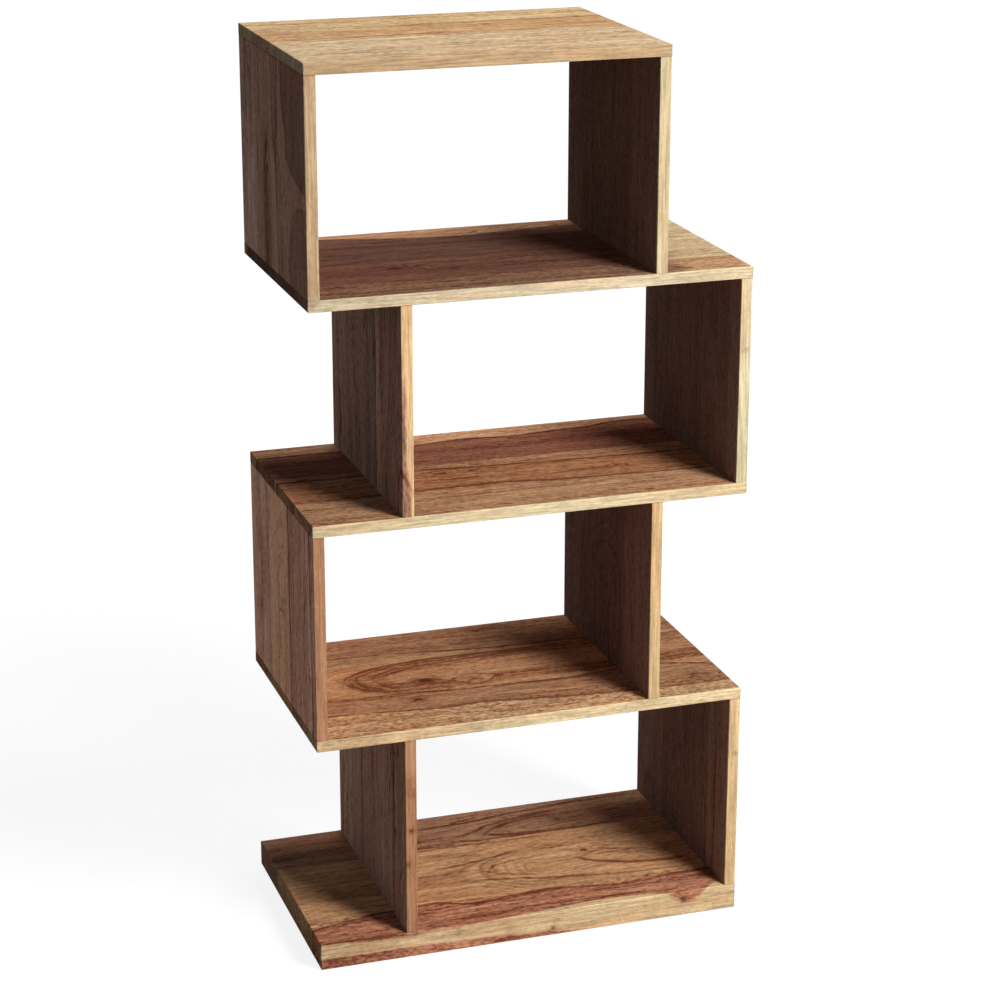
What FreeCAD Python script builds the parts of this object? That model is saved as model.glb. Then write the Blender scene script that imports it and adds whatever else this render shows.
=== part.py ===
import FreeCAD
import Part
import Sketcher
import math
import os

# Zigzag bookshelf of solid wood: four open tiers between five boards, with every second tier set back on the
# left and the others on the right. Each panel is edge-glued from staves, planed, eased along its arrises and
# slotted, and the uprights stand on blind biscuits. Origin: middle of the base's underside; +Z up, front at -Y.

# Driving sizes in millimetres.
SIZES = {
    "unit_width": 700,
    "unit_depth": 400,
    "base_thickness": 42,
    "board_thickness": 18,
    "upright_thickness": 18,
    "tier_height": 328,
    "setback": 140,
    "arris_radius": 1.2,
    "narrow_stave": 45,
    "medium_stave": 82,
    "wide_stave": 118,
    "planing_allowance": 4,
    "biscuit_length": 56,
    "biscuit_width": 23,
    "biscuit_end": 6,
    "biscuit_thickness": 4,
    "biscuit_margin": 100,
    "slot_clearance": 0.1,
    "glue_gap": 0.8,
}
TIERS = 4
BISCUITS_PER_JOINT = 2
VOLUME_TOLERANCE = 1e-6
# Side of a sketched square before its sizes are bound.
SKETCH_START = 10

# Staves of each panel from its back to its front. REST is the stave that takes up what the others leave.
REST = None
BOARD_STAVES = {
    "base": ("wide_stave", REST, "medium_stave"),
    "shelf_1": ("wide_stave", REST, "medium_stave", "medium_stave"),
    "shelf_2": ("narrow_stave", "wide_stave", REST, "wide_stave"),
    "shelf_3": ("narrow_stave", REST, "wide_stave", "medium_stave"),
    "top_board": ("medium_stave", "wide_stave", REST),
}
UPRIGHT_STAVES = {
    "tier_1_left_upright": ("medium_stave", "wide_stave", REST, "medium_stave"),
    "tier_1_right_upright": ("wide_stave", REST, "medium_stave"),
    "tier_2_left_upright": ("wide_stave", "wide_stave", REST, "narrow_stave"),
    "tier_2_right_upright": ("medium_stave", REST, "wide_stave"),
    "tier_3_left_upright": ("medium_stave", "wide_stave", REST, "wide_stave"),
    "tier_3_right_upright": ("wide_stave", "medium_stave", REST, "narrow_stave"),
    "tier_4_left_upright": ("wide_stave", REST, "wide_stave"),
    "tier_4_right_upright": (REST, "wide_stave", "wide_stave"),
}
STAVE_NAMES = {
    3: ("back", "middle", "front"),
    4: ("back", "mid_back", "mid_front", "front"),
}

doc = FreeCAD.newDocument("ZigzagBookshelf")
sheet = doc.addObject("Spreadsheet::Sheet", "Sizes")
for row, (size_name, size_value) in enumerate(SIZES.items(), start=1):
    sheet.set(f"A{row}", size_name)
    sheet.set(f"B{row}", str(size_value))
    sheet.setAlias(f"B{row}", size_name)
doc.recompute()

# A biscuit is a lens between two equal arcs, clipped at its ends. The cutter that makes its slots runs round the
# same centres, a glue gap further out.
LENS_RISE = "((Sizes.biscuit_width - Sizes.biscuit_end) / 2)"
HALF_LENGTH = "(Sizes.biscuit_length / 2)"
LENS_RADIUS = f"(({HALF_LENGTH} * {HALF_LENGTH} + {LENS_RISE} * {LENS_RISE}) / (2 * {LENS_RISE}))"
LENS_CENTRE = f"({LENS_RADIUS} - Sizes.biscuit_width / 2)"
CUTTER_RADIUS = f"({LENS_RADIUS} + Sizes.glue_gap)"
SLOT_WIDTH = "(Sizes.biscuit_thickness + 2 * Sizes.slot_clearance)"
BISCUIT_ROW = "(Sizes.unit_depth - 2 * Sizes.biscuit_margin)"
UPRIGHT_SPACING = "(Sizes.unit_width - Sizes.setback - Sizes.upright_thickness)"


def tier_floor(tier):
    """Height of the face that a tier's uprights stand on."""
    return f"(Sizes.base_thickness + {tier - 1} * (Sizes.tier_height + Sizes.board_thickness))"


def tier_ceiling(tier):
    """Height of the underside that a tier's uprights carry."""
    return f"({tier_floor(tier)} + Sizes.tier_height)"


def upright_left_face(tier, side):
    """Left face of an upright, from the left end. Odd tiers are set back on the left, even ones on the right."""
    set_back = (side == "left") == (tier % 2 == 1)
    inset = "Sizes.setback" if set_back else "0"
    if side == "left":
        return f"({inset})"
    return f"(Sizes.unit_width - {inset} - Sizes.upright_thickness)"


def upright_middle(tier, side):
    """Middle of an upright's thickness, from the left end of the unit."""
    return f"({upright_left_face(tier, side)} + Sizes.upright_thickness / 2)"


def place(part, x, y, z, position="Placement"):
    """Binds a piece's position to the sheet."""
    part.setExpression(f"{position}.Base.x", x)
    part.setExpression(f"{position}.Base.y", y)
    part.setExpression(f"{position}.Base.z", z)


def origin_of(body, role):
    """One of a body's own planes or axes."""
    return next(feature for feature in body.Origin.OriginFeatures if feature.Role == role)


def sketch_on(body, plane, name):
    """An empty sketch on one of the body's own planes."""
    sketch = body.newObject("Sketcher::SketchObject", name)
    sketch.AttachmentSupport = [(origin_of(body, plane), "")]
    sketch.MapMode = "FlatFace"
    return sketch


def bind(sketch, constraint, name, expression):
    """Adds a sketch dimension and binds it to the sheet."""
    index = sketch.addConstraint(constraint)
    sketch.renameConstraint(index, name)
    sketch.setExpression(f"Constraints.{name}", expression)


def panel_blank(body, length, depth, height):
    """A squared panel, its front left lower corner at the body's origin."""
    sketch = sketch_on(body, "XY_Plane", "Outline")
    near, far = 0, SKETCH_START
    corners = [FreeCAD.Vector(x, y, 0) for x, y in ((near, near), (far, near), (far, far), (near, far))]
    for start, end in zip(corners, corners[1:] + corners[:1]):
        sketch.addGeometry(Part.LineSegment(start, end))
    for side in range(4):
        sketch.addConstraint(Sketcher.Constraint("Coincident", side, 2, (side + 1) % 4, 1))
    for side, direction in enumerate(("Horizontal", "Vertical", "Horizontal", "Vertical")):
        sketch.addConstraint(Sketcher.Constraint(direction, side))
    sketch.addConstraint(Sketcher.Constraint("Coincident", 0, 1, -1, 1))
    bind(sketch, Sketcher.Constraint("DistanceX", 0, 1, 0, 2, far), "length", length)
    bind(sketch, Sketcher.Constraint("DistanceY", 1, 1, 1, 2, far), "depth", depth)
    blank = body.newObject("PartDesign::Pad", "Blank")
    blank.Profile = sketch
    blank.setExpression("Length", height)
    doc.recompute()
    return blank


def is_upright(edge):
    """True for an edge that runs along Z."""
    start, end = (vertex.Point for vertex in edge.Vertexes)
    return abs(start.z - end.z) > abs(start.x - end.x) + abs(start.y - end.y)


def ease_arrises(body, blank, upright_ones):
    """Rounds a blank's arrises: the level ones on a board, the standing ones on an upright, whose ends butt."""
    edges = enumerate(blank.Shape.Edges, start=1)
    names = [f"Edge{i}" for i, edge in edges if is_upright(edge) == upright_ones]
    easing = body.newObject("PartDesign::Fillet", "EasedArrises")
    easing.Base = (blank, names)
    easing.setExpression("Radius", "Sizes.arris_radius")


def repeat(body, feature, name, rows):
    """Repeats a feature from front to back along a joint, and across to the joint of the second upright."""
    pattern = body.newObject("PartDesign::LinearPattern", name)
    pattern.Originals = [feature]
    pattern.Direction = (origin_of(body, "Y_Axis"), [""])
    pattern.setExpression("Length", BISCUIT_ROW)
    pattern.Occurrences = BISCUITS_PER_JOINT
    pattern.Direction2 = (origin_of(body, "X_Axis"), [""])
    pattern.setExpression("Length2", UPRIGHT_SPACING)
    pattern.Occurrences2 = rows
    body.Tip = pattern


def cut_slots(body, name, first_middle, cutter_height, rows):
    """Blind biscuit slots. A round cutter on a level axis plunges in, with its middle outside the face."""
    cutter = body.newObject("PartDesign::SubtractiveCylinder", f"{name}Cutter")
    cutter.AttachmentSupport = [(origin_of(body, "YZ_Plane"), "")]
    cutter.MapMode = "FlatFace"
    cutter.setExpression("Radius", CUTTER_RADIUS)
    cutter.setExpression("Height", SLOT_WIDTH)
    left_cheek = f"{first_middle} - {SLOT_WIDTH} / 2"
    place(cutter, "Sizes.biscuit_margin", cutter_height, left_cheek, position="AttachmentOffset")
    repeat(body, cutter, f"{name}Slots", rows)


def staves_of(panel, name, widths, length, height, corner):
    """Cuts a panel at its glue lines. Each stave is the panel within one rough-sawn blank, larger all round."""
    split = widths.index(REST)
    behind = [f"Sizes.{width}" for width in widths[:split]]
    ahead = [f"Sizes.{width}" for width in widths[split + 1:]]
    # Glue lines from the back edge to the front, as distances from the panel's front edge.
    lines = ["(Sizes.unit_depth + Sizes.planing_allowance)"]
    lines += [f"(Sizes.unit_depth - ({' + '.join(behind[:i + 1])}))" for i in range(len(behind))]
    lines += [f"({' + '.join(ahead[i:])})" for i in range(len(ahead))]
    lines += ["(-Sizes.planing_allowance)"]
    x, y, z = corner
    staves = []
    for place_name, back, front in zip(STAVE_NAMES[len(widths)], lines, lines[1:]):
        sawn = doc.addObject("Part::Box", f"{name}_{place_name}_sawn")
        sawn.setExpression("Length", f"{length} + 2 * Sizes.planing_allowance")
        sawn.setExpression("Width", f"{back} - {front}")
        sawn.setExpression("Height", f"{height} + 2 * Sizes.planing_allowance")
        place(sawn, f"{x} - Sizes.planing_allowance", f"{y} + {front}", f"{z} - Sizes.planing_allowance")
        stave = doc.addObject("Part::Common", f"{name}_{place_name}_stave")
        stave.Base = panel
        stave.Tool = sawn
        stave.Label = f"{name}_{place_name}_stave"
        staves.append(stave)
    return staves


LEFT_END = "(-Sizes.unit_width / 2)"
FRONT_EDGE = "(-Sizes.unit_depth / 2)"


def board(name, level):
    """A level board: level 0 is the base, the last one the top, which stops at its tier's set-back upright."""
    is_base = level == 0
    is_top = level == TIERS
    thickness = "Sizes.base_thickness" if is_base else "Sizes.board_thickness"
    length = "(Sizes.unit_width - Sizes.setback)" if is_top else "Sizes.unit_width"
    underside = "0" if is_base else tier_ceiling(level)
    body = doc.addObject("PartDesign::Body", f"{name}_panel")
    ease_arrises(body, panel_blank(body, length, "Sizes.unit_depth", thickness), upright_ones=False)
    if not is_base:
        cut_slots(body, "Under", upright_middle(level, "left"), f"-{LENS_CENTRE}", rows=2)
    if not is_top:
        cut_slots(body, "Upper", upright_middle(level + 1, "left"), f"{thickness} + {LENS_CENTRE}", rows=2)
    corner = (LEFT_END, FRONT_EDGE, underside)
    place(body, *corner)
    return staves_of(body, name, BOARD_STAVES[name], length, thickness, corner)


def upright(tier, side):
    """An upright with standing grain, slotted in both ends."""
    name = f"tier_{tier}_{side}_upright"
    body = doc.addObject("PartDesign::Body", f"{name}_panel")
    blank = panel_blank(body, "Sizes.upright_thickness", "Sizes.unit_depth", "Sizes.tier_height")
    ease_arrises(body, blank, upright_ones=True)
    middle = "Sizes.upright_thickness / 2"
    cut_slots(body, "Foot", middle, f"-{LENS_CENTRE}", rows=1)
    cut_slots(body, "Head", middle, f"Sizes.tier_height + {LENS_CENTRE}", rows=1)
    corner = (f"({LEFT_END} + {upright_left_face(tier, side)})", FRONT_EDGE, tier_floor(tier))
    place(body, *corner)
    return staves_of(body, name, UPRIGHT_STAVES[name], "Sizes.upright_thickness", "Sizes.tier_height", corner)


def lens_outline(body):
    """A biscuit's outline about the body's origin: upper arc, lower arc, front end and back end."""
    sketch = sketch_on(body, "YZ_Plane", "Lens")
    half_length = sheet.get("biscuit_length") / 2
    half_end = sheet.get("biscuit_end") / 2
    half_width = sheet.get("biscuit_width") / 2
    back, front = FreeCAD.Vector(half_length, half_end, 0), FreeCAD.Vector(-half_length, half_end, 0)
    low_back, low_front = FreeCAD.Vector(half_length, -half_end, 0), FreeCAD.Vector(-half_length, -half_end, 0)
    crown = FreeCAD.Vector(0, half_width, 0)
    upper = sketch.addGeometry(Part.Arc(back, crown, front))
    lower = sketch.addGeometry(Part.Arc(low_front, -crown, low_back))
    front_end = sketch.addGeometry(Part.LineSegment(front, low_front))
    back_end = sketch.addGeometry(Part.LineSegment(low_back, back))
    ring = (upper, front_end, lower, back_end)
    for piece, following in zip(ring, ring[1:] + ring[:1]):
        sketch.addConstraint(Sketcher.Constraint("Coincident", piece, 2, following, 1))
    for end in (front_end, back_end):
        sketch.addConstraint(Sketcher.Constraint("Vertical", end))
    sketch.addConstraint(Sketcher.Constraint("Equal", upper, lower))
    sketch.addConstraint(Sketcher.Constraint("Equal", front_end, back_end))
    sketch.addConstraint(Sketcher.Constraint("PointOnObject", upper, 3, -2))
    sketch.addConstraint(Sketcher.Constraint("Symmetric", upper, 3, lower, 3, -1, 1))
    bind(sketch, Sketcher.Constraint("Radius", upper, sketch.Geometry[upper].Radius), "radius", LENS_RADIUS)
    apart = 2 * (sketch.Geometry[upper].Radius - half_width)
    bind(sketch, Sketcher.Constraint("DistanceY", upper, 3, lower, 3, apart), "centres", f"2 * {LENS_CENTRE}")
    length = Sketcher.Constraint("DistanceX", front_end, 1, back_end, 2, 2 * half_length)
    bind(sketch, length, "length", "Sizes.biscuit_length")
    return sketch


def biscuits(tier, end):
    """The beech biscuits at the feet or the heads of a tier's two uprights, as one group of separate plates."""
    name = f"tier_{tier}_{end}_biscuits"
    body = doc.addObject("PartDesign::Body", name)
    plate = body.newObject("PartDesign::Pad", "Plate")
    plate.Profile = lens_outline(body)
    plate.SideType = "Symmetric"
    plate.setExpression("Length", "Sizes.biscuit_thickness")
    repeat(body, plate, "Plates", rows=2)
    joint_face = tier_floor(tier) if end == "foot" else tier_ceiling(tier)
    x = f"{LEFT_END} + {upright_middle(tier, 'left')}"
    place(body, x, f"{FRONT_EDGE} + Sizes.biscuit_margin", joint_face)
    body.Label = name
    return body


nodes = []
for level, board_name in enumerate(BOARD_STAVES):
    nodes += board(board_name, level)
for tier in range(1, TIERS + 1):
    for side in ("left", "right"):
        nodes += upright(tier, side)
    for end in ("foot", "head"):
        nodes.append(biscuits(tier, end))
doc.recompute()

# Every object has to be sound before any file is written.
for part in doc.Objects:
    if "Invalid" in part.State or "Error" in part.State:
        raise RuntimeError(f"{part.Name} failed: {part.State}")
for node in nodes:
    if node.Shape.isNull() or not node.Shape.isValid() or not node.Shape.Solids:
        raise RuntimeError(f"{node.Label} has no sound solid")

# Each set of slots has to take out its own volume, which it doesn't if a cutter misses its panel.
slot_depth = sheet.get("biscuit_width") / 2 + sheet.get("glue_gap")
slot_width = sheet.get("biscuit_thickness") + 2 * sheet.get("slot_clearance")
for slots in doc.findObjects("PartDesign::LinearPattern"):
    cutter = slots.Originals[0]
    if cutter.TypeId == "PartDesign::SubtractiveCylinder":
        radius = cutter.Radius.Value
        offset = radius - slot_depth
        segment = radius**2 * math.acos(offset / radius) - offset * math.sqrt(radius**2 - offset**2)
        wanted = slots.Occurrences * slots.Occurrences2 * segment * slot_width
        removed = cutter.BaseFeature.Shape.Volume - slots.Shape.Volume
        if abs(removed - wanted) > VOLUME_TOLERANCE * wanted:
            raise RuntimeError(f"{slots.Name} takes out {removed:.1f} of {wanted:.1f} cubic millimetres")

os.makedirs("parts", exist_ok=True)
for node in nodes:
    node.Shape.exportStep(f"parts/{node.Label}.step")
print(len(nodes), "nodes,", sum(len(node.Shape.Solids) for node in nodes), "solids")
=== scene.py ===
import math

import bpy
from mathutils import Matrix, Vector


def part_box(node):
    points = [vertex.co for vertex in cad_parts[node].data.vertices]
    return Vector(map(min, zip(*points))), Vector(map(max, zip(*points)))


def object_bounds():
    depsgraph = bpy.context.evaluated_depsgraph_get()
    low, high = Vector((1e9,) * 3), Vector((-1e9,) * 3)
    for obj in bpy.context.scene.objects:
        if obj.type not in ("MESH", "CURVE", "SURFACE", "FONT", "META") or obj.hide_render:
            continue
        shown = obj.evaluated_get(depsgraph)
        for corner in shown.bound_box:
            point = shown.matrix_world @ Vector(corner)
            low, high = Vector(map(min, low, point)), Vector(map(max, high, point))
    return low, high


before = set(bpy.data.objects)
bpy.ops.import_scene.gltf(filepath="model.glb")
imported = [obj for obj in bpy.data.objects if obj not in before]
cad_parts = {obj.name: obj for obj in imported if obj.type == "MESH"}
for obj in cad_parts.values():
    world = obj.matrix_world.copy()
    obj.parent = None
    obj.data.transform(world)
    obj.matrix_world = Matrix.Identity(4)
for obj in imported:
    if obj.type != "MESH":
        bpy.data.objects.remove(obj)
cad_low, cad_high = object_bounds()


# Base board: the thick bottom of the unit, glued up from wide planks of solid sheesham, sanded and oiled.
# The wood is golden at the middle, with a band of red heartwood along the front and pale sapwood
# on the front arris, where the plank was cut next to the bark.
class Wire:
    """A value on its way through a material: + - * / ** add Math nodes, and make() adds any other node."""

    def __init__(self, tree, socket=None):
        self.tree = tree
        self.socket = socket

    def make(self, kind, settings, sockets, output=0):
        """A node of that kind, with its settings and the values or wires of its sockets."""
        node = self.tree.nodes.new("ShaderNode" + kind)
        for name, value in settings.items():
            if name == "points":
                fill_curve(node, value)
            else:
                setattr(node, name, value)
        for name, value in sockets.items():
            if isinstance(value, Wire):
                self.tree.links.new(value.socket, node.inputs[name])
            else:
                node.inputs[name].default_value = value
        return Wire(self.tree, node.outputs[output])

    def math(self, operation, *values):
        return self.make("Math", {"operation": operation}, dict(enumerate(values)))

    def __add__(self, other):
        return self.math("ADD", self, other)

    def __radd__(self, other):
        return self.math("ADD", other, self)

    def __sub__(self, other):
        return self.math("SUBTRACT", self, other)

    def __rsub__(self, other):
        return self.math("SUBTRACT", other, self)

    def __mul__(self, other):
        return self.math("MULTIPLY", self, other)

    def __rmul__(self, other):
        return self.math("MULTIPLY", other, self)

    def __truediv__(self, other):
        return self.math("DIVIDE", self, other)

    def __pow__(self, other):
        return self.math("POWER", self, other)

    def rise(self, low, high):
        """0 below low, 1 above high, and a smooth step between them."""
        limits = {"Value": self, "From Min": low, "From Max": high}
        return self.make("MapRange", {"interpolation_type": "SMOOTHSTEP"}, limits)

    def blend(self, first, second):
        """The first colour where this wire is 0 and the second where it is 1."""
        return self.make("Mix", {"data_type": "RGBA"}, {0: self, 6: first, 7: second}, output=2)

    def cloud(self, size, detail, seed):
        """Noise of about 0 to 1 at this place, in lumps of size (along, across, deep) millimetres."""
        scale = [1 / length for length in size]
        spot = self.make("Mapping", {}, {"Vector": self, "Scale": scale, "Location": (seed, seed, seed)})
        return self.make("TexNoise", {}, {"Vector": spot, "Scale": 1.0, "Detail": detail})

    def layers(self, size, detail):
        """Noise of about 0 to 1 on this one number, in steps of size."""
        settings = {"noise_dimensions": "1D"}
        return self.make("TexNoise", settings, {"W": self / size, "Scale": 1.0, "Detail": detail})


CURVE_SPAN = 1000.0


def fill_curve(node, points):
    """Puts the given (from, to) points, in millimetres, on a Float Curve of CURVE_SPAN each way."""
    line = node.mapping.curves[0]
    while len(line.points) < len(points):
        line.points.new(0, 0)
    for knot, (start, end) in zip(line.points, points):
        knot.location = (start / CURVE_SPAN, end / CURVE_SPAN)
    node.mapping.update()


def drawn_line(along, points):
    """The millimetres that a line drawn through the points has at this place along the grain."""
    share = along.make("FloatCurve", {"points": points}, {"Value": along / CURVE_SPAN})
    return share * CURVE_SPAN


def paint(colour):
    """A colour of 0 to 255, as a screen shows it, as the light that it reflects."""
    screen = [value / 255 for value in colour]
    light = [v / 12.92 if v <= 0.04045 else ((v + 0.055) / 1.055) ** 2.4 for v in screen]
    return (*light, 1.0)


def spot_in_board(tree, stave):
    """Millimetres from the unit's left end, from its back edge, and below the board's top face."""
    x, y, z = object_axes(tree)
    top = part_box(stave)[1].z
    return (x - cad_low.x) * 1000, (cad_high.y - y) * 1000, (top - z) * 1000


def spot_in_upright(tree, stave):
    """Millimetres below the upright's head, from the unit's back edge, and in from its left face."""
    x, y, z = object_axes(tree)
    low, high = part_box(stave)
    return (high.z - z) * 1000, (cad_high.y - y) * 1000, (x - low.x) * 1000


def object_axes(tree):
    """The three Object coordinates of a place on a piece, in metres."""
    corner = Wire(tree).make("TexCoord", {}, {}, output="Object")
    return [corner.make("SeparateXYZ", {}, {0: corner}, output=axis) for axis in range(3)]


def tinted(colour, shade):
    """A colour, or a wire of one, times another."""
    if isinstance(colour, Wire):
        multiply = {"data_type": "RGBA", "blend_type": "MULTIPLY"}
        return colour.make("Mix", multiply, {0: 1.0, 6: colour, 7: shade}, output=2)
    return tuple(part * factor for part, factor in zip(colour, shade))


FRONT = 400
LIGHT_SHADE = (1.44, 1.5, 1.53, 1.0)
LINE_SHADE = (0.42, 0.25, 0.22, 1.0)
BLUSH_SHADE = (1.0, 0.9, 0.86, 1.0)
PLAIN = (1.0, 1.0, 1.0, 1.0)
KNOT_BROWN = (46, 30, 26)
SWAY_LUMPS = (320, 90, 90)
RIPPLE_LUMPS = (100, 18, 18)
FEATHER_LUMPS = (30, 7, 7)
PATCH_LUMPS = (170, 34, 34)
DRIFT_LUMPS = (300, 50, 50)
MOTTLE_LUMPS = (13, 6, 6)
PORE_LUMPS = (8, 2.2, 2.2)
FIBRE_LUMPS = (70, 3, 3)
BLUSH_LUMPS = (220, 24, 24)
SWAY = 70
RIPPLE = 20
FEATHER = 12
KNOT_STRETCH = 1.6
KNOT_PUSH = 1.3
KNOT_WAVE = 10
LINE_DARK = 0.62
BAND_DARK = 0.15
DRIFT_DARK = 0.12
STREAK_WAVE = 14
STREAK_FADE = 20
BORDER_WAVE = 12
BORDER_DARK = 1.9
END_WAVE = 40
END_FADE = 12
END_CALM = 0.35
MOTTLE_DARK = 0.28
PORE_DARK = 0.42
SAP_WAVE = 5
SAP_UNDER_WAVE = 10
SAP_LEAN = 0.4
SAP_CALM = 0.6
EYE_DARK = 0.5
CORE_DARK = 0.75
FIBRE_DARK = 0.77
FIBRE_LIGHT = 1.23
ARRIS_WEAR_AND_HIGHLIGHT = 0.2
END_GRAIN = 0.3
BUMP_STRENGTH = 0.35
BUMP_DEPTH = 0.0004


def plank(
    staves, spot, body, pith, ring, bold=1.0, speckle=0.85, shades=(), streaks=(), ovals=(), knots=(),
    zones=(), soft=2, sap=None, ends=None, seed=0.0,
):
    """Sawn wood for staves that come from one plank, with its figure running through its whole thickness.

    A growth ring is a tube round the pith, so the lines on a face are where it cuts those tubes: the
    distance from the pith is hypot(across - pith across, depth + dive). The pith lies in the face past
    pith along, and before it dives by dip millimetres in each one, down to its reach. In an oval the rings
    close round its own middle, and a knot pushes them out. Shades are darker wood between two of those
    distances, and streaks are dark lines, or light ones below 0, drawn along the grain. A zone is wood of
    another colour in front of a drawn line, with a dark border that is weaker the softer it is. Ends are
    wood of another colour past a place along the grain. Sap is pale wood in front of one drawn line and
    above another.
    """
    material = bpy.data.materials.new(staves[0] + "_wood")
    material.use_nodes = True
    tree = material.node_tree
    along, across, depth = spot(tree, staves[0])
    place = along.make("CombineXYZ", {}, {0: along, 1: across, 2: depth})

    sway = place.cloud(SWAY_LUMPS, 2.0, seed)
    ripple = place.cloud(RIPPLE_LUMPS, 2.0, seed + 1)
    feather = place.cloud(FEATHER_LUMPS, 2.0, seed + 6)
    bent = across + SWAY * (sway - 0.5) + RIPPLE * (ripple - 0.5) + FEATHER * (feather - 0.5)
    pith_along, pith_across, dip, reach = pith
    dive = dip * (pith_along - along)
    dive = dive.math("SMOOTH_MIN", dive.math("MAXIMUM", dive, 0.0), reach, 0.5 * reach)
    below = depth + dive
    out = bent - pith_across
    radius = (out * out + below * below) ** 0.5
    for oval_along, oval_across, length, width in ovals:
        run = (along - oval_along) / length
        side = (bent - oval_across) / width
        spread = (run * run + side * side) ** 0.5
        radius = radius + (1 - spread.rise(0.6, 1.2)) * (width * spread - radius)
    eyes = 0 * along
    cores = 0 * along
    for knot_along, knot_across, knot_depth, size, dark in knots:
        run = (along - knot_along) / (KNOT_STRETCH * size)
        side = (across - knot_across + KNOT_WAVE * (feather - 0.5)) / size
        drop = (depth - knot_depth) / (KNOT_STRETCH * size)
        spread = run * run + side * side + drop * drop
        eye = along.math("EXPONENT", -1 * spread)
        radius = radius + KNOT_PUSH * size * eye
        eyes = eyes.math("MAXIMUM", eyes, dark * eye)
        cores = cores.math("MAXIMUM", cores, dark * (1 - spread.rise(0.03, 0.3)))

    wander = radius + 4 * ring * (radius.layers(5 * ring, 2.0) - 0.5)
    phase = (wander / ring).math("FRACT", wander / ring) ** 2
    late = (4 * phase * (1 - phase)) ** 4
    strong = (radius + 400).layers(2.2 * ring, 1.0).rise(0.38, 0.62)
    patchy = place.cloud(PATCH_LUMPS, 2.0, seed + 2).rise(0.3, 0.65)
    band = (radius + 900).layers(3 * ring, 3.0).rise(0.34, 0.66)
    drift = place.cloud(DRIFT_LUMPS, 3.0, seed + 3).rise(0.3, 0.7)
    lines = late * (0.15 + 0.85 * strong) * (0.4 + 0.6 * patchy)
    deep = bold * (LINE_DARK * lines + BAND_DARK * band) + DRIFT_DARK * drift
    for inner, outer, dark in shades:
        between = radius.rise(inner - 8, inner + 8) * (1 - radius.rise(outer - 2, outer + 2))
        deep = deep + dark * between * (0.5 + 0.5 * patchy)
    for points, width, dark in streaks:
        off = (across - drawn_line(along, points) + STREAK_WAVE * (ripple - 0.5)) / width
        stroke = (1 - off.math("ABSOLUTE", off)).rise(0.0, 1.0)
        first = points[0][0]
        last = points[-1][0]
        run = along.rise(first - STREAK_FADE, first + STREAK_FADE)
        run = run * (1 - along.rise(last - STREAK_FADE, last + STREAK_FADE))
        deep = deep + dark * stroke * run * (0.5 + 0.5 * patchy)

    tone = paint(body)
    for points, next_body in zones:
        edge = across - drawn_line(along, points) + BORDER_WAVE * (ripple - 0.5)
        tone = edge.rise(-soft, soft).blend(tone, paint(next_body))
        border = edge.rise(-1 - soft, 0.5) * (1 - edge.rise(1, 5 + soft))
        deep = deep + BORDER_DARK * bold / (1 + 0.5 * soft) * border * (0.4 + 0.6 * patchy)
    if ends:
        start, next_body = ends
        beyond = (along - start + END_WAVE * (drift - 0.5)).rise(-END_FADE, END_FADE)
        tone = beyond.blend(tone, paint(next_body))
        deep = deep * (1 - END_CALM * beyond)
    mottle = place.cloud(MOTTLE_LUMPS, 2.0, seed + 8).rise(0.32, 0.68)
    pores = place.cloud(PORE_LUMPS, 2.0, seed + 5).rise(0.44, 0.7)
    deep = deep + speckle * (MOTTLE_DARK * mottle + PORE_DARK * pores)
    if sap:
        top_line, under_line, next_body = sap
        edge = across - drawn_line(along, top_line) + SAP_LEAN * depth + SAP_WAVE * (ripple - 0.5)
        lower = drawn_line(along, under_line) - depth + SAP_UNDER_WAVE * (ripple - 0.5)
        pale = edge.rise(-1.5, 1.5) * lower.rise(-3.0, 3.0)
        tone = pale.blend(tone, paint(next_body))
        deep = deep * (1 - SAP_CALM * pale)

    blush = place.cloud(BLUSH_LUMPS, 2.0, seed + 7).rise(0.4, 0.65)
    fibre = place.cloud(FIBRE_LUMPS, 2.0, seed + 4).rise(0.25, 0.75)
    colour = (deep + EYE_DARK * eyes).blend(tinted(tone, LIGHT_SHADE), tinted(tone, LINE_SHADE))
    colour = (CORE_DARK * cores).blend(colour, paint(KNOT_BROWN))
    colour = tinted(colour, blush.blend(PLAIN, BLUSH_SHADE))
    # Painted highlight and wear: the front arris is made lighter, partly as a painted highlight where light
    # catches the eased edge and partly as wear.
    worn_and_highlit = across.rise(FRONT - 1.8, FRONT - 0.4) * (1 - depth.rise(0.3, 1.6))
    low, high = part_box(staves[0])
    length = 1000 * max(high - low)
    cut = 1 - along.rise(0.4, 1.4) * (1 - along.rise(length - 1.4, length - 0.4))
    grain = FIBRE_DARK + (FIBRE_LIGHT - FIBRE_DARK) * fibre
    colour = tinted(colour, grain * (1 + ARRIS_WEAR_AND_HIGHLIGHT * worn_and_highlit) * (1 - END_GRAIN * cut))

    relief = 0.4 * fibre - pores - 0.5 * lines
    bump_sockets = {"Strength": BUMP_STRENGTH, "Distance": BUMP_DEPTH, "Height": relief}
    bump = relief.make("Bump", {}, bump_sockets)
    roughness = 0.5 + 0.14 * pores + 0.1 * fibre
    shader = tree.nodes["Principled BSDF"]
    shader.inputs["Specular IOR Level"].default_value = 0.0
    tree.links.new(colour.socket, shader.inputs["Base Color"])
    tree.links.new(roughness.socket, shader.inputs["Roughness"])
    tree.links.new(bump.socket, shader.inputs["Normal"])
    for stave in staves:
        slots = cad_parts[stave].data.materials
        slots.clear()
        slots.append(material)


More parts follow.
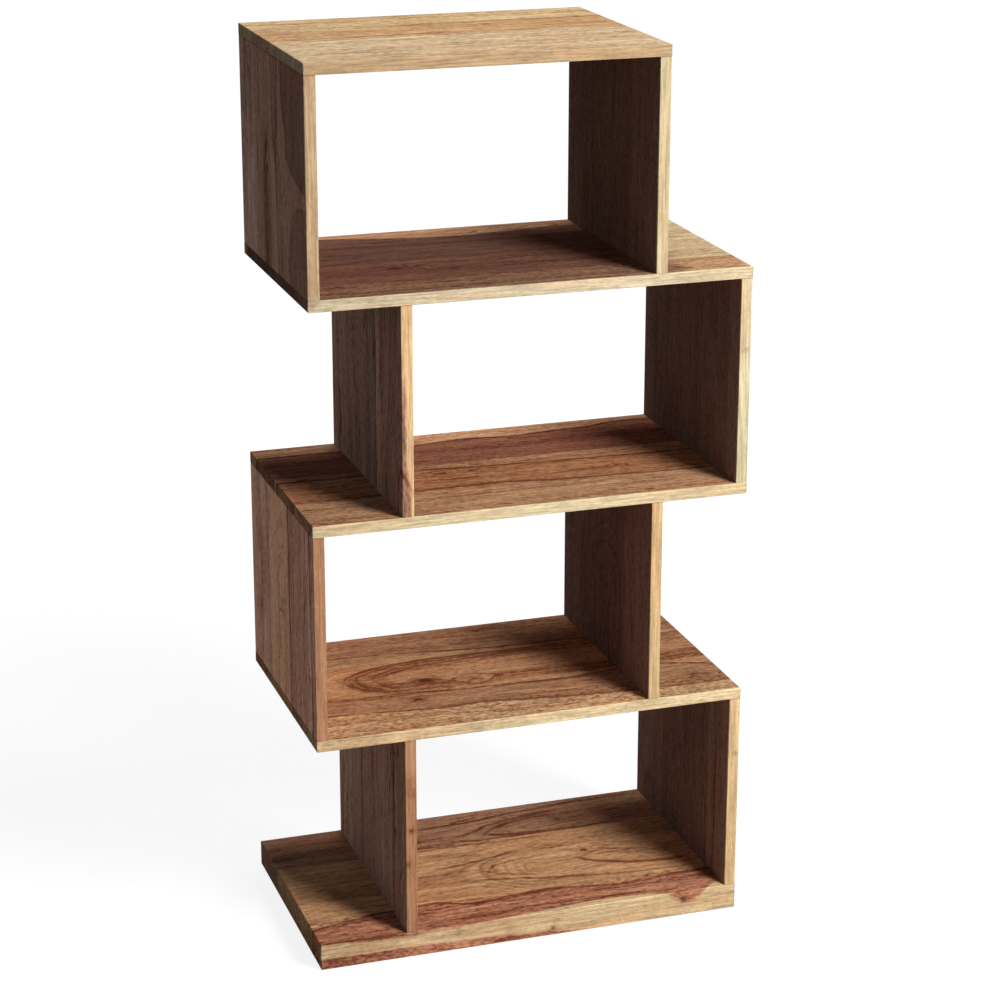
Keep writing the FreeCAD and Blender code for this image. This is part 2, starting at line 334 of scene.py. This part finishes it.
BASE_BACK = (172, 130, 100)
BASE_GOLD = (192, 149, 107)
BASE_RED = (180, 126, 97)
BASE_EDGE = (191, 163, 124)
RED_EDGE = [
    (0, 345), (80, 325), (190, 313), (215, 312), (260, 330), (350, 325),
    (410, 320), (500, 337), (560, 334), (640, 330), (700, 330),
]
RED_BORDER = [
    (190, 317), (215, 317), (260, 335), (350, 331), (410, 326), (500, 343), (560, 340), (690, 336),
]
BARK_EDGE = [
    (0, 399), (300, 398), (400, 390), (470, 385), (560, 392), (595, 404), (640, 404), (670, 386), (700, 386),
]
UNDER_EDGE = [(0, 26), (350, 33), (520, 50), (700, 60)]
plank(
    ["base_back_stave"], spot_in_board, BASE_BACK, pith=(480, 80, 0.3, 50), ring=11, bold=0.9, speckle=0.8,
    shades=[(24, 34, 0.3)], knots=[(505, 75, 0, 7, 0.6)], seed=3.1,
    streaks=[
        ([(230, 44), (380, 36), (500, 20), (650, 12)], 6, 0.65),
        ([(240, 24), (330, 20), (420, 12)], 5, 0.4),
        ([(315, 90), (345, 82), (380, 64), (440, 48), (520, 42)], 7, 0.7),
        ([(370, 92), (390, 76), (430, 60), (500, 52)], 7, 0.7),
        ([(370, 92), (400, 106), (460, 112), (600, 114)], 7, 0.7),
        ([(230, 96), (280, 88), (330, 86)], 8, 0.4),
        ([(230, 112), (300, 108), (380, 114), (450, 120)], 6, 0.6),
    ],
)
BASE_SPECKLE = {"base_middle_stave": 0.8, "base_front_stave": 1.3}
for stave, speckle in BASE_SPECKLE.items():
    plank(
        [stave], spot_in_board, BASE_GOLD, pith=(410, 235, 0.75, 70), ring=11,
        bold=0.7, speckle=speckle, shades=[(50, 62, 0.2)],
        knots=[
            (508, 203, 0, 10, 1.0), (575, 327, 0, 5, 0.8), (185, 345, 0, 8, 0.6),
            (225, FRONT, 12, 4, 0.9), (385, FRONT, 30, 5, 0.6), (610, FRONT, 14, 9, 0.5),
        ],
        streaks=[
            ([(220, 126), (300, 122), (380, 128), (470, 130)], 7, 0.5),
            ([(250, 202), (300, 194), (350, 183), (390, 172)], 6, 0.7),
            ([(430, 176), (560, 180), (680, 172)], 6, 0.35),
            ([(250, 152), (290, 160), (330, 166)], 9, 0.35),
            ([(330, 232), (345, 216), (380, 204), (430, 198)], 8, 0.55),
            ([(330, 232), (350, 248), (400, 262)], 8, 0.55),
            ([(535, 206), (560, 214), (590, 226)], 8, 0.5),
            ([(500, 226), (520, 214), (545, 200), (575, 197), (620, 208)], 9, 0.38),
            ([(560, 232), (600, 240), (650, 238)], 12, 0.3),
            ([(200, 356), (300, 348), (380, 354)], 7, -0.45),
            ([(330, 366), (420, 362), (520, 368), (600, 360)], 6, -0.4),
            ([(190, 372), (260, 366), (330, 372)], 6, -0.35),
            ([(250, 376), (400, 374), (520, 378)], 5, 0.5),
            ([(20, 372), (70, 362), (120, 366)], 8, -0.45),
            ([(0, 352), (60, 340), (130, 330)], 6, 0.5),
            (RED_BORDER, 4, 0.5),
            ([(0, 399), (60, 399), (130, 399)], 8, 0.6),
            ([(310, 258), (360, 270), (420, 284), (520, 300), (660, 312)], 6, 0.8),
            ([(485, 228), (510, 246), (550, 264), (600, 275), (650, 278)], 9, 0.8),
            ([(470, 346), (530, 354), (600, 350), (680, 352)], 6, 0.4),
            ([(230, 384), (330, 380), (420, 386), (500, 379), (600, 390)], 7, 0.4),
        ],
        zones=[(RED_EDGE, BASE_RED)], sap=(BARK_EDGE, UNDER_EDGE, BASE_EDGE), seed=7.4,
    )


# Tier 1 uprights: two stiles of edge-glued staves with the grain upright, set in from the left end.
# Dark heartwood makes up most of their faces, and the front staves have a paler front edge.
# The right one is set darker still, partly as painted shade inside the tier.
WHOLE_DEPTH = [(0, 500), (700, 500)]
EDGE_LINE = [(0, 397), (350, 397)]
SEED_STEP = 9


def straight(across):
    """The pith of a plank with straight grain, that many millimetres from the unit's back edge."""
    return 0, across, 0.0, 1


def upright(name, rows, edge_body, seed, edge_line=EDGE_LINE):
    """The staves of one upright from back to front. The last has its own colour on its front edge."""
    for place, (part, body, figure) in enumerate(rows):
        last = place == len(rows) - 1
        edge = (edge_line, WHOLE_DEPTH, edge_body) if last else None
        stave = "%s_upright_%s_stave" % (name, part)
        plank([stave], spot_in_upright, body, sap=edge, seed=seed + SEED_STEP * place, **figure)


upright("tier_1_left", [
    ("back", (188, 147, 123), dict(pith=straight(-60), ring=9)),
    ("mid_back", (167, 130, 108), dict(
        pith=straight(20), ring=8, bold=0.6, zones=[([(0, 140), (350, 142)], (160, 121, 102))],
    )),
    ("mid_front", (164, 126, 104), dict(pith=straight(420), ring=8)),
    ("front", (153, 117, 97), dict(
        pith=straight(250), ring=9,
        knots=[(152, FRONT, 9, 4, 0.8), (210, FRONT, 4, 5, 0.4), (90, FRONT, 12, 5, 0.4)],
        streaks=[([(0, 330), (350, 332)], 5, 0.4), ([(-20, FRONT), (20, FRONT), (45, FRONT)], 7, -1.0)],
    )),
], (158, 117, 85), 110.0, [(0, 399), (330, 396)])
# Its tones are set darker than the left one's, partly as painted shade for the inside of the tier.
upright("tier_1_right", [
    ("back", (132, 108, 94), dict(pith=(350, 60, 0.3, 40), ring=10, bold=0.5)),
    ("middle", (119, 97, 85), dict(pith=(300, 190, 0.4, 60), ring=11, bold=0.5)),
    ("front", (138, 110, 93), dict(
        pith=straight(260), ring=9, bold=0.55, knots=[(95, FRONT, 12, 3, 0.8)],
        zones=[([(0, 347), (350, 343)], (142, 112, 94))],
    )),
], (188, 158, 116), 170.0)


# Shelf 1: a full-width board, thinner than the base, glued up from four staves of two planks.
# A flame of curved rings fills its middle, with knots, and a speckled tan edge runs along the front.
SHELF_1_BACK = (167, 125, 93)
SHELF_1_STRIP = (179, 140, 102)
SHELF_1_GOLD = (188, 144, 105)
SHELF_1_RED = (169, 128, 95)
SHELF_1_TAN = (202, 166, 124)
SHELF_1_EDGE = (194, 171, 133)
plank(
    ["shelf_1_back_stave"], spot_in_board, SHELF_1_BACK, pith=straight(-110), ring=9, bold=0.9, speckle=0.9,
    zones=[([(0, 78), (200, 83), (300, 97), (350, 104), (480, 108), (700, 115)], SHELF_1_STRIP)], seed=21.4,
)
SHELF_1_SPECKLE = {
    "shelf_1_mid_back_stave": 0.9,
    "shelf_1_mid_front_stave": 0.9,
    "shelf_1_front_stave": 1.5,
}
for stave, speckle in SHELF_1_SPECKLE.items():
    plank(
        [stave], spot_in_board, SHELF_1_GOLD, pith=(215, 187, 0.56, 75), ring=8, bold=0.75, speckle=speckle,
        shades=[(26, 62, 0.42)], ovals=[(308, 228, 42, 22)], seed=23.8,
        knots=[(230, 212, 0, 17, 0.8), (308, 228, 0, 9, 0.6), (195, 286, 0, 11, 0.9), (650, 320, 0, 22, 0.3)],
        streaks=[
            ([(102, 182), (112, 164), (150, 145), (200, 130), (300, 124), (430, 130)], 6, 0.9),
            ([(118, 186), (128, 168), (165, 150), (210, 138), (320, 132)], 4, 0.6),
            ([(135, 192), (146, 172), (180, 157), (240, 146)], 4, 0.6),
            ([(170, 172), (230, 152), (320, 142), (440, 136)], 5, 0.6),
            ([(100, 186), (110, 204), (130, 222), (160, 238)], 6, 0.8),
            ([(120, 190), (132, 208), (160, 230)], 5, 0.6),
            ([(60, 256), (150, 262), (260, 260), (360, 268), (500, 276)], 6, 0.5),
            ([(230, 296), (300, 300), (380, 306), (480, 318)], 7, -0.4),
            ([(272, 222), (290, 211), (310, 207), (345, 225)], 5, 0.9),
            ([(272, 232), (290, 243), (310, 247), (345, 229)], 5, 0.9),
            ([(600, 250), (640, 264), (700, 292)], 6, 0.5),
            ([(0, 314), (130, 320), (200, 329), (300, 327), (380, 337), (480, 352), (560, 354)], 4, 0.7),
            ([(0, 399), (50, 399), (110, 399)], 8, 0.75),
        ],
        zones=[
            ([(0, 250), (200, 255), (300, 265), (450, 270), (600, 258), (700, 285)], SHELF_1_RED),
            ([(0, 312), (130, 318), (200, 327), (300, 325), (380, 335), (480, 350), (700, 356)], SHELF_1_TAN),
        ],
        sap=([(0, 399), (150, 398), (400, 397), (700, 397)], WHOLE_DEPTH, SHELF_1_EDGE),
    )


# Tier 2 uprights: two stiles of edge-glued staves, set flush with the left end, so that the unit steps in
# on the right. The left one is lighter and livelier than the rest, and the right one has a tall flame at
# its middle.
upright("tier_2_left", [
    ("back", (227, 174, 146), dict(
        pith=straight(-30), ring=10,
        streaks=[([(90, 62), (160, 72), (250, 50)], 40, 0.3), ([(140, 50), (210, 62)], 14, -0.3)],
    )),
    ("mid_back", (234, 177, 138), dict(
        pith=(175, 187, 0.5, 60), ring=9, bold=0.7, ovals=[(135, 188, 62, 36), (285, 182, 60, 24)],
        knots=[(75, 210, 0, 5, 0.7)],
    )),
    ("mid_front", (209, 154, 127), dict(
        pith=straight(140), ring=8, zones=[([(0, 245), (350, 245)], (209, 154, 127))],
    )),
    ("front", (230, 179, 151), dict(
        pith=straight(250), ring=8, zones=[([(0, 374), (350, 378)], (208, 159, 133))],
    )),
], (154, 110, 81), 310.0)
# Its tones are set darker than the left one's, partly as painted shade for the inside of the tier.
upright("tier_2_right", [
    ("back", (117, 97, 84), dict(pith=straight(-40), ring=9, bold=0.5)),
    ("middle", (110, 92, 81), dict(pith=(190, 205, 0.9, 80), ring=12, bold=0.55, shades=[(0, 70, 0.2)])),
    ("front", (125, 100, 86), dict(pith=straight(180), ring=9, bold=0.5)),
], (178, 149, 109), 370.0)


# Shelf 2: a full-width board of four staves from two planks, with a strip of honey wood at the back,
# a broad red band, and a tan plank along the front.
SHELF_2_HONEY = (196, 152, 114)
SHELF_2_RED = (152, 101, 79)
SHELF_2_STRIP = (184, 141, 104)
SHELF_2_GOLD = (176, 126, 89)
SHELF_2_TAN = (182, 142, 106)
SHELF_2_EDGE = (184, 167, 132)
plank(
    ["shelf_2_back_stave", "shelf_2_mid_back_stave"], spot_in_board, SHELF_2_HONEY, pith=straight(-150),
    ring=9, speckle=1.0, seed=41.0,
    zones=[(
        [(0, 45), (140, 48), (260, 50), (330, 43), (420, 47), (500, 42), (570, 36), (600, 27), (700, 22)],
        SHELF_2_RED,
    )],
)
plank(
    ["shelf_2_mid_front_stave", "shelf_2_front_stave"], spot_in_board, SHELF_2_STRIP, pith=straight(40),
    ring=9, bold=0.9, speckle=1.0, ovals=[(285, 210, 62, 26)], seed=43.6,
    streaks=[
        ([(222, 206), (250, 196), (285, 192), (320, 196), (350, 206)], 6, 0.45),
        ([(222, 208), (250, 222), (285, 228), (320, 222), (350, 210)], 6, 0.45),
        ([(240, 244), (340, 240), (420, 236)], 6, 0.35),
        ([(400, 262), (500, 258), (620, 266)], 7, 0.35),
        ([(300, 330), (400, 338), (520, 330)], 12, -0.3),
    ],
    knots=[
        (262, 208, 0, 8, 0.5), (307, 208, 0, 8, 0.5), (455, 233, 0, 6, 0.4),
        (540, 250, 0, 9, 0.4), (545, 382, 0, 5, 0.7),
    ],
    zones=[
        ([(0, 178), (200, 180), (330, 188), (400, 198), (480, 202), (700, 205)], SHELF_2_GOLD),
        ([(0, 284), (200, 280), (300, 275), (350, 280), (420, 290), (600, 303), (700, 305)], SHELF_2_TAN),
    ],
    sap=([(0, 398), (300, 397), (700, 397)], WHOLE_DEPTH, SHELF_2_EDGE),
)


# Tier 3 uprights: two stiles set in from the left end like those of tier 1, glued up from the darkest
# staves in the unit, though the right one's darkness is partly painted shade inside the tier. They stand
# between shelf 2 and shelf 3, and biscuits in their ends hold them.
upright("tier_3_left", [
    ("back", (167, 133, 111), dict(pith=straight(-50), ring=9)),
    ("mid_back", (161, 124, 101), dict(pith=straight(20), ring=8)),
    ("mid_front", (141, 113, 94), dict(
        pith=straight(330), ring=8, zones=[([(0, 255), (350, 255)], (180, 141, 112))],
    )),
    ("front", (150, 115, 95), dict(pith=(300, 400, 0.5, 60), ring=10)),
], (193, 158, 115), 510.0, [(0, 398), (120, 401), (330, 405)])
# Its tones are set darker than the left one's, partly as painted shade for the inside of the tier.
upright("tier_3_right", [
    ("back", (117, 95, 83), dict(pith=straight(-30), ring=10, bold=0.5)),
    ("mid_back", (119, 97, 86), dict(pith=straight(40), ring=8, bold=0.5)),
    ("mid_front", (120, 97, 84), dict(pith=(300, 290, 0.3, 50), ring=11, bold=0.5)),
    ("front", (133, 106, 91), dict(
        pith=straight(300), ring=8, bold=0.5, knots=[(113, FRONT, 9, 3, 0.8)],
    )),
], (172, 157, 124), 570.0)


# Shelf 3: a full-width board of four staves from three planks, dark brown inside the tier and
# honey coloured with red streaks on the end that stands out to the right.
SHELF_3_HONEY = (186, 146, 112)
SHELF_3_DARK = (116, 85, 71)
SHELF_3_RED = (124, 88, 73)
SHELF_3_TAN = (150, 117, 92)
SHELF_3_STEP = (185, 165, 129)
SHELF_3_STEP_FRONT = (178, 142, 105)
SHELF_3_EDGE = (177, 162, 133)
plank(
    ["shelf_3_back_stave", "shelf_3_mid_back_stave"], spot_in_board, SHELF_3_HONEY, pith=straight(-150),
    ring=9, speckle=0.6, soft=9, ends=(575, SHELF_3_STEP), seed=61.7,
    streaks=[([(580, 150), (640, 158), (700, 150)], 10, 0.35)],
    zones=[(
        [(0, 25), (110, 22), (180, 38), (250, 52), (320, 60), (400, 54), (450, 48), (520, 40), (700, 45)],
        SHELF_3_DARK,
    )],
)
plank(
    ["shelf_3_mid_front_stave"], spot_in_board, SHELF_3_RED, pith=(260, 250, 0.35, 40), ring=9, bold=0.9,
    knots=[(175, 245, 0, 16, 0.7)], ends=(575, SHELF_3_STEP), seed=62.1,
    streaks=[
        ([(170, 214), (250, 208), (320, 222)], 9, -0.4),
        ([(230, 262), (300, 256), (430, 266)], 12, 0.3),
        ([(400, 292), (470, 286), (520, 290)], 10, -0.3),
        ([(580, 300), (640, 294), (700, 304)], 18, 0.4),
    ],
)
plank(
    ["shelf_3_front_stave"], spot_in_board, SHELF_3_TAN, pith=straight(200), ring=8, bold=1.4, speckle=1.1,
    knots=[(65, 330, 0, 4, 0.8)], ends=(585, SHELF_3_STEP_FRONT), seed=63.9,
    streaks=[
        ([(120, 326), (300, 330), (480, 328)], 7, -0.35),
        ([(575, 362), (640, 382), (690, 390)], 7, 0.5),
    ],
    sap=([(0, 397), (300, 397), (700, 396)], WHOLE_DEPTH, SHELF_3_EDGE),
)


# Tier 4 uprights: two stiles of edge-glued staves, flush with the left end like those of tier 2.
# They carry the top board. A dark patch crosses the front of the left one, partly heartwood and partly
# painted shade, and its staves are painted darker at the top and lighter lower down, as light from the
# floor falls on it. The right one is set darker, partly as painted shade inside the tier.
upright("tier_4_left", [
    ("back", (186, 148, 126), dict(
        pith=straight(-40), ring=9,
        # Painted light and shade: the first streak makes the lower part lighter and the second makes the top
        # darker, as light from the floor falls.
        streaks=[([(170, 60), (340, 56)], 45, -0.5), ([(0, 44), (120, 40)], 60, 0.35)],
    )),
    ("middle", (166, 127, 103), dict(
        pith=(220, 168, 0.35, 45), ring=14, soft=6,
        # The second streak is painted light: it makes the lower part lighter, as light from the floor falls.
        streaks=[([(115, 155), (160, 155), (340, 155)], 32, 0.3), ([(150, 205), (340, 205)], 30, -0.5)],
        zones=[
            ([(0, 240), (112, 225), (350, 225)], (173, 132, 108)),
            ([(0, 262), (60, 268), (110, 284), (350, 300)], (148, 112, 92)),
        ],
    )),
    ("front", (171, 131, 107), dict(
        pith=(330, 430, 0.7, 120), ring=15, bold=0.35, soft=7,
        # Partly heartwood figure and partly painted shade: the first zone darkens the upper front.
        zones=[
            ([(0, 262), (60, 268), (140, 290), (165, 340), (185, 410), (350, 425)], (137, 102, 83)),
            ([(0, 430), (185, 425), (205, 340), (230, 310), (350, 300)], (149, 111, 91)),
        ],
    )),
], (164, 137, 105), 710.0)
# Its tones are set darker than the left one's, partly as painted shade for the inside of the tier.
upright("tier_4_right", [
    ("back", (109, 88, 76), dict(pith=straight(-60), ring=10, bold=0.5)),
    ("middle", (111, 91, 79), dict(pith=straight(120), ring=9, bold=0.5)),
    ("front", (120, 97, 82), dict(pith=straight(240), ring=9, bold=0.5)),
], (166, 152, 119), 770.0, [(0, 399), (200, 396), (350, 396)])


# Top board: shorter than the shelves by one step, glued up from three staves of two planks.
# It is the palest board: honey wood at the back, a warm band, and broad sapwood towards the front.
TOP_HONEY = (199, 172, 129)
TOP_RED = (188, 152, 111)
TOP_PALE = (196, 172, 136)
TOP_EDGE = (155, 128, 96)
plank(
    ["top_board_back_stave", "top_board_middle_stave"], spot_in_board, TOP_HONEY, pith=straight(-150), ring=9,
    bold=0.7, speckle=0.9, soft=9, seed=81.5,
    streaks=[
        ([(20, 192), (120, 196), (220, 190), (280, 184)], 11, 0.35),
        ([(60, 128), (150, 122), (240, 118)], 9, -0.3),
        ([(280, 118), (330, 128), (380, 124)], 14, 0.25),
        ([(400, 166), (480, 158), (550, 162)], 12, 0.2),
        ([(20, 34), (160, 44), (300, 30)], 9, 0.2),
        ([(400, 70), (480, 64), (550, 68)], 8, -0.3),
    ],
    knots=[(355, 132, 0, 7, 0.4), (520, 96, 0, 6, 0.5), (490, 105, 0, 8, 0.3)],
    zones=[(
        [(0, 100), (100, 120), (200, 112), (260, 100), (330, 98), (420, 95), (560, 92)],
        TOP_RED,
    )],
)
plank(
    ["top_board_front_stave"], spot_in_board, TOP_PALE, pith=straight(-60), ring=10, bold=0.6, speckle=0.9,
    knots=[(262, 288, 0, 5, 0.6)], seed=82.7,
    streaks=[
        ([(60, 228), (150, 222), (250, 216)], 9, -0.3),
        ([(62, 356), (90, 330), (135, 318), (180, 330), (205, 345)], 8, 0.2),
        ([(380, 262), (460, 270), (560, 264)], 16, 0.2),
    ],
    sap=([(0, 398), (560, 398)], WHOLE_DEPTH, TOP_EDGE),
)


# Biscuits: pressed beech plates glued into blind slots in every joint between an upright and a board.
# None of them shows once the unit is together.
BEECH_LIGHT = (206, 170, 128)
BEECH_DARK = (182, 140, 100)
BEECH_ROUGHNESS = 0.75
FLECK_LUMPS = (4, 0.8, 0.8)


def beech(name):
    """Pale wood with short dark flecks along the unit's width."""
    material = bpy.data.materials.new(name)
    material.use_nodes = True
    tree = material.node_tree
    along, across, depth = spot_in_board(tree, "shelf_1_back_stave")
    place = along.make("CombineXYZ", {}, {0: along, 1: across, 2: depth})
    fleck = place.cloud(FLECK_LUMPS, 2.0, 5.0).rise(0.45, 0.7)
    shader = tree.nodes["Principled BSDF"]
    shader.inputs["Roughness"].default_value = BEECH_ROUGHNESS
    colour = fleck.blend(paint(BEECH_LIGHT), paint(BEECH_DARK))
    tree.links.new(colour.socket, shader.inputs["Base Color"])
    return material


pressed_beech = beech("pressed_beech")
for name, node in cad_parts.items():
    if name.endswith("_biscuits"):
        node.data.materials.clear()
        node.data.materials.append(pressed_beech)


# Studio: a white floor that keeps a faint shadow, a white surround that lights the unit from the left and
# from behind, one round soft lamp in front of the unit, to its right and above it, and one over it and a
# little behind.
FLOOR_REACH = 40.0
FLOOR_GREY = (0.4, 0.4, 0.4, 1.0)
FLOOR_SHADE = (0.2, 0.2, 0.2, 1.0)
FLOOR_NEAR = (0.86, 0.86, 0.86, 1.0)
NEAR, FAR = 0.8, 2.5
FILL = 0.03
FROM_LEFT = 0.6
LEFT_FOCUS = 6
FROM_BEHIND = 0.5
BEHIND_FOCUS = 4
COOL = (0.84, 0.98, 1.16, 1.0)
FRONT_LAMP = Vector((1.6, -2.7, 2.35))
FRONT_TARGET = Vector((0.0, 0.0, 0.7))
FRONT_ACROSS = 1.3
FRONT_WATTS = 165.0
TOP_LAMP = Vector((0.0, 0.6, 4.2))
TOP_TARGET = Vector((0.0, 0.0, 0.0))
TOP_ACROSS = 1.0
TOP_WATTS = 50.0


def seen_directly(start):
    """1 for rays from the camera, a mirror or glass, and 0 for light that falls on the unit."""
    kinds = ("Camera", "Glossy", "Transmission")
    found = [start.make("LightPath", {}, {}, output="Is %s Ray" % kind) for kind in kinds]
    return start.math("MAXIMUM", found[0], start.math("MAXIMUM", found[1], found[2]))


corners = [(FLOOR_REACH * x, FLOOR_REACH * y, 0) for x, y in ((-1, -1), (1, -1), (1, 1), (-1, 1))]
floor_mesh = bpy.data.meshes.new("floor")
floor_mesh.from_pydata(corners, [], [(0, 1, 2, 3)])
floor = bpy.data.objects.new("floor", floor_mesh)
bpy.context.scene.collection.objects.link(floor)
white_floor = bpy.data.materials.new("white_floor")
white_floor.use_nodes = True
tree = white_floor.node_tree
start = Wire(tree)
shade = start.make("BsdfDiffuse", {}, {"Color": FLOOR_SHADE})
x, y, z = object_axes(tree)
distance = (x * x + y * y) ** 0.5
glow = start.make("Emission", {}, {"Color": distance.rise(NEAR, FAR).blend(FLOOR_NEAR, PLAIN)})
shown = start.make("AddShader", {}, {0: shade, 1: glow})
matte = start.make("BsdfDiffuse", {}, {"Color": FLOOR_GREY})
surface = start.make("MixShader", {}, {0: seen_directly(start), 1: matte, 2: shown})
tree.links.new(surface.socket, tree.nodes["Material Output"].inputs["Surface"])
floor_mesh.materials.append(white_floor)

surround = bpy.data.worlds.new("surround")
surround.use_nodes = True
tree = surround.node_tree
start = Wire(tree)
view = start.make("TexCoord", {}, {}, output="Generated")
side = start.make("SeparateXYZ", {}, {0: view}, output=0)
left = side.math("MAXIMUM", -1 * side, 0.0)
back = start.make("SeparateXYZ", {}, {0: view}, output=1)
behind = back.math("MAXIMUM", back, 0.0)
light = FILL + FROM_LEFT * left ** LEFT_FOCUS + FROM_BEHIND * behind ** BEHIND_FOCUS
direct = seen_directly(start)
strength = direct + (1 - direct) * light
tree.links.new(strength.socket, tree.nodes["Background"].inputs["Strength"])
tree.links.new(direct.blend(COOL, PLAIN).socket, tree.nodes["Background"].inputs["Color"])
bpy.context.scene.world = surround


def soft_lamp(name, place, target, across, watts):
    """A round lamp of that width, turned to its target."""
    light = bpy.data.lights.new(name, "AREA")
    light.shape = "DISK"
    light.size = across
    light.energy = watts
    lamp = bpy.data.objects.new(name, light)
    lamp.location = place
    lamp.rotation_euler = (place - target).to_track_quat("Z", "Y").to_euler()
    bpy.context.scene.collection.objects.link(lamp)


soft_lamp("front_lamp", FRONT_LAMP, FRONT_TARGET, FRONT_ACROSS, FRONT_WATTS)
soft_lamp("top_lamp", TOP_LAMP, TOP_TARGET, TOP_ACROSS, TOP_WATTS)


# Camera: to the left of the unit's front and above it, as the picture was taken. The lens is shifted a
# little, so that the unit fills the frame here and stays inside it from other sides.
FRAME_PIXELS = 1000
FOCAL_PIXELS = 2744.6
CENTRE_ROW = 470
SENSOR = 36.0
YAW, PITCH, ROLL = (math.radians(angle) for angle in (-18.349, 17.764, 0.078))
EYE = (-1.3004, -3.9507, 2.0607)

lens = bpy.data.cameras.new("picture_view")
lens.sensor_width = SENSOR
lens.lens = FOCAL_PIXELS / FRAME_PIXELS * SENSOR
lens.shift_y = (CENTRE_ROW - FRAME_PIXELS / 2) / FRAME_PIXELS
ahead = Vector((-math.sin(YAW) * math.cos(PITCH), math.cos(YAW) * math.cos(PITCH), -math.sin(PITCH)))
level = Vector((math.cos(YAW), math.sin(YAW), 0.0))
upward = level.cross(ahead)
right = level * math.cos(ROLL) + upward * math.sin(ROLL)
pose = Matrix((right, right.cross(ahead), -ahead)).transposed().to_4x4()
pose.translation = EYE
camera = bpy.data.objects.new("picture_view", lens)
camera.matrix_world = pose
bpy.context.scene.collection.objects.link(camera)
bpy.context.scene.camera = camera
bpy.context.scene.view_settings.view_transform = "Standard"
